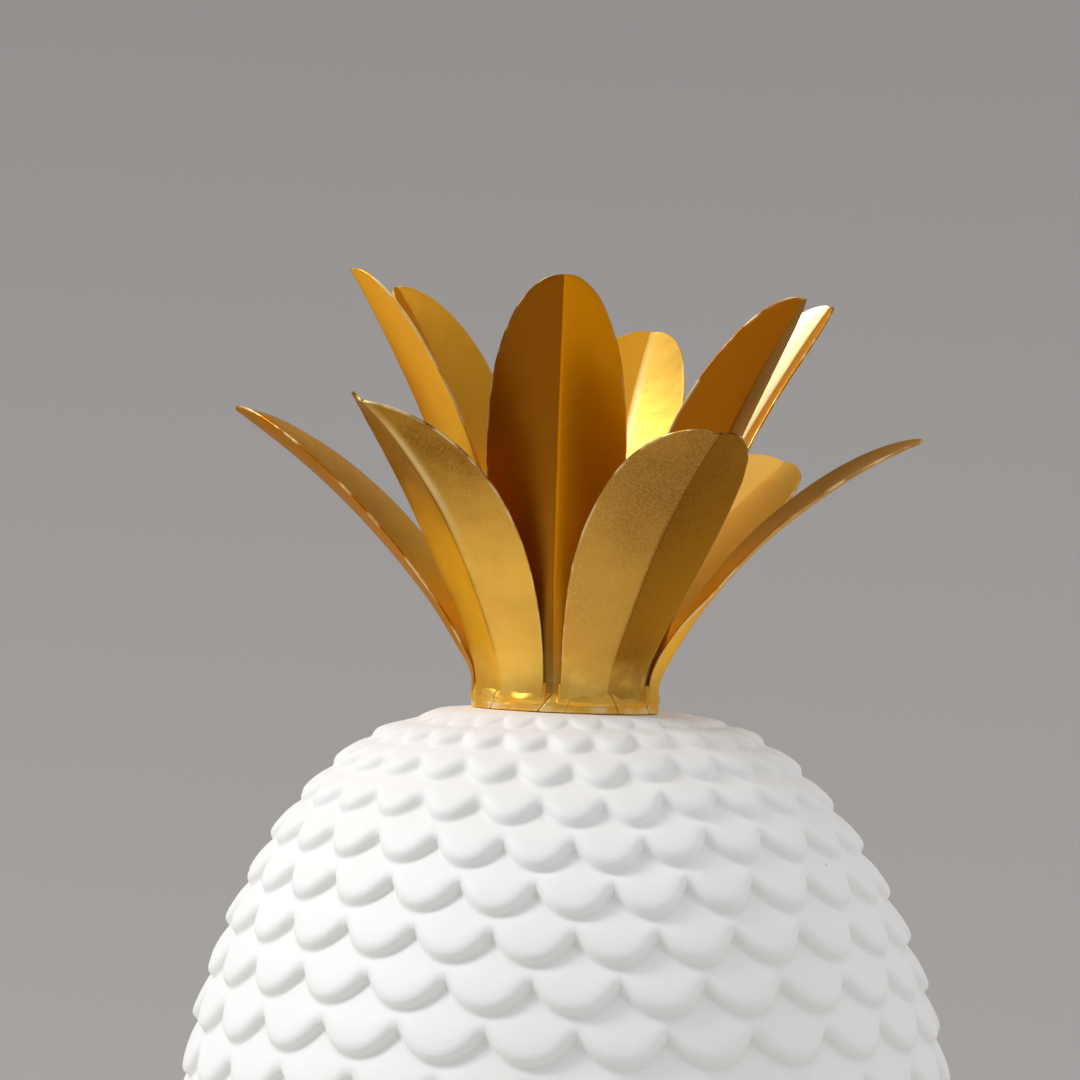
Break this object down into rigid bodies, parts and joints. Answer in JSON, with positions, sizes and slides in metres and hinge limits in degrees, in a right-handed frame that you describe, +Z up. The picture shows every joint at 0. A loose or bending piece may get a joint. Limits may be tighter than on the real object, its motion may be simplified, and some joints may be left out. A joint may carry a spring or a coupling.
{
  "type": "pineapple figurine",
  "caption": "Pineapple-shaped table decoration: a white ceramic body covered in overlapping rounded scales, topped by a crown of folded gold sheet-metal leaves.",
  "frame": {"origin": "centre of the resting face, under the body's axis", "axes": "+Z up along the body's axis, -Y towards the front that the picture shows, +X to the right as seen from the front"},
  "size_m": [0.1425, 0.1424, 0.2579],
  "materials": {
    "body_ceramic": "matt white bisque",
    "crown_gold": "satin gold lacquer on sheet metal",
    "adhesive": "cured adhesive",
    "felt": "felt"
  },
  "bodies": {
    "root": {"body_shell": "body_ceramic", "crown_collar": "crown_gold", "crown_adhesive": "adhesive", "inner_leaf_1": "crown_gold", "inner_leaf_2": "crown_gold", "inner_leaf_3": "crown_gold", "inner_leaf_4": "crown_gold", "inner_leaf_5": "crown_gold", "inner_leaf_6": "crown_gold", "outer_leaf_1": "crown_gold", "outer_leaf_2": "crown_gold", "outer_leaf_3": "crown_gold", "outer_leaf_4": "crown_gold", "outer_leaf_5": "crown_gold", "foot_pad_1": "felt", "foot_pad_2": "felt", "foot_pad_3": "felt", "foot_pad_4": "felt"}
  },
  "joints": []
}
